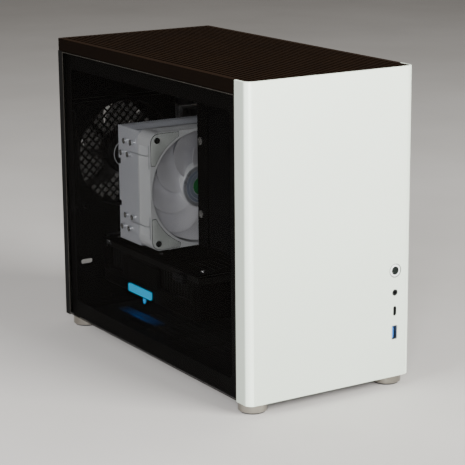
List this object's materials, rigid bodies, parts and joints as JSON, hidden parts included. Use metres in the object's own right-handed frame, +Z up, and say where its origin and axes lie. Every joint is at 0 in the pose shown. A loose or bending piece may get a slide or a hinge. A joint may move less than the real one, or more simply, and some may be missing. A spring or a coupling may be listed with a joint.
{
  "type": "desktop computer tower",
  "caption": "Compact desktop computer tower with aluminium front, slotted top, dark glass side and visible fan, cooler and graphics card",
  "frame": {"origin": "centre of the bounding footprint, on the floor plane under the rubber foot pads", "axes": "+Z up, the front panel faces -Y, +X is the right side seen from the front; the glass is on the -X side"},
  "size_m": [0.185, 0.37, 0.31],
  "materials": {
    "front_aluminium": "fine bead-blasted, anodised silver",
    "bare_aluminium": "satin",
    "cover_black": "fine matt powder coat",
    "chassis_black": "matt powder coat",
    "filter_mesh": "woven nylon mesh",
    "tinted_glass": "polished, dark tint",
    "screw_steel": "nickel plated",
    "clip_plastic": "moulded",
    "foot_silver": "turned and polished",
    "pad_rubber": "matt",
    "button_dark": "gloss",
    "io_board": "solder mask",
    "port_black": "moulded",
    "port_steel": "nickel plated",
    "psu_black": "matt powder coat",
    "rocker_black": "satin",
    "fan_white": "moulded",
    "blades_clear": "translucent grey-white",
    "fan_black": "moulded",
    "blades_black": "satin",
    "board_black": "black solder mask",
    "brass": "bright",
    "socket_black": "moulded",
    "cpu_lid": "nickel plated",
    "heatsink_grey": "anodised grey",
    "ram_grey": "brushed, anodised",
    "nickel": "nickel plated",
    "fin_aluminium": "bright",
    "cable_black": "matt jacket",
    "card_black": "fine texture",
    "light_cyan": "lit from inside"
  },
  "bodies": {
    "case": {"front_panel": "front_aluminium", "front_panel_studs": "bare_aluminium", "panel_clips": "clip_plastic", "feet": "foot_silver", "foot_pads": "pad_rubber", "base_plate": "chassis_black", "front_frame": "chassis_black", "rear_panel": "chassis_black", "motherboard_tray": "chassis_black", "top_frame": "chassis_black", "left_frame": "chassis_black", "front_io_board": "io_board", "audio_jack": "port_black", "usb_c_socket": "port_steel", "usb_a_socket": "port_steel", "psu_case": "psu_black", "psu_bracket": "chassis_black", "psu_switch_bezel": "port_black", "mains_inlets": "port_black", "cooler_fan_frame": "fan_white", "rear_fan_frame": "fan_black", "psu_fan_frame": "fan_black", "fan_screws": "screw_steel", "case_screws": "screw_steel", "motherboard_pcb": "board_black", "standoffs": "brass", "cpu_socket": "socket_black", "cpu": "cpu_lid", "board_heatsinks": "heatsink_grey", "board_sockets": "socket_black", "ram_sticks": "ram_grey", "rear_io_ports": "port_steel", "io_shield": "port_steel", "atx_harness": "cable_black", "ac_extension": "cable_black", "heat_pipes": "nickel", "cooler_base": "nickel", "fin_stack": "fin_aluminium", "fan_clips": "screw_steel", "gpu_board": "board_black", "gpu_backplate": "card_black", "gpu_heatsink": "fin_aluminium", "gpu_shroud": "card_black", "gpu_light_bar": "light_cyan", "gpu_bracket": "port_steel", "slot_covers": "chassis_black"},
    "power_button": {"power_button": "front_aluminium", "button_lens": "button_dark"},
    "glass_side": {"glass_panel": "tinted_glass", "glass_studs": "screw_steel"},
    "right_side": {"right_panel": "chassis_black", "right_studs": "screw_steel"},
    "top": {"top_cover": "cover_black", "top_filter": "filter_mesh"},
    "cooler_rotor": {"cooler_fan_rotor": "blades_clear"},
    "rear_rotor": {"rear_fan_rotor": "blades_black"},
    "psu_rotor": {"psu_fan_rotor": "blades_black"},
    "gpu_rotor_front": {"gpu_fan_front": "blades_black"},
    "gpu_rotor_rear": {"gpu_fan_rear": "blades_black"},
    "psu_rocker": {"psu_switch": "rocker_black"}
  },
  "joints": [
    {"name": "power_button_press", "type": "slide", "parent": "case", "child": "power_button", "axis": [0, 1, 0], "range_m": [0, 0.0012], "stiffness_N_per_m": 900, "springref_m": -0.0012},
    {"name": "glass_pull_off", "type": "slide", "parent": "case", "child": "glass_side", "axis": [-1, 0, 0], "range_m": [0, 0.06]},
    {"name": "right_panel_pull_off", "type": "slide", "parent": "case", "child": "right_side", "axis": [1, 0, 0], "range_m": [0, 0.06]},
    {"name": "top_cover_lift", "type": "slide", "parent": "case", "child": "top", "axis": [0, 0, 1], "range_m": [0, 0.05]},
    {"name": "cooler_fan_spin", "type": "hinge", "parent": "case", "child": "cooler_rotor", "pos_m": [-0.018, 0.03, 0.172], "axis": [0, 1, 0], "continuous": true},
    {"name": "rear_fan_spin", "type": "hinge", "parent": "case", "child": "rear_rotor", "pos_m": [-0.027, 0.17, 0.184], "axis": [0, 1, 0], "continuous": true},
    {"name": "psu_fan_spin", "type": "hinge", "parent": "case", "child": "psu_rotor", "pos_m": [0, -0.085, 0.209], "axis": [0, 1, 0], "continuous": true},
    {"name": "gpu_front_fan_spin", "type": "hinge", "parent": "case", "child": "gpu_rotor_front", "pos_m": [0.004, 0.028, 0.05], "axis": [0, 0, 1], "continuous": true},
    {"name": "gpu_rear_fan_spin", "type": "hinge", "parent": "case", "child": "gpu_rotor_rear", "pos_m": [0.004, 0.126, 0.05], "axis": [0, 0, 1], "continuous": true},
    {"name": "psu_rocker_turn", "type": "hinge", "parent": "case", "child": "psu_rocker", "pos_m": [0.006, -0.118, 0.276], "axis": [1, 0, 0], "range_deg": [-20, 0]}
  ]
}
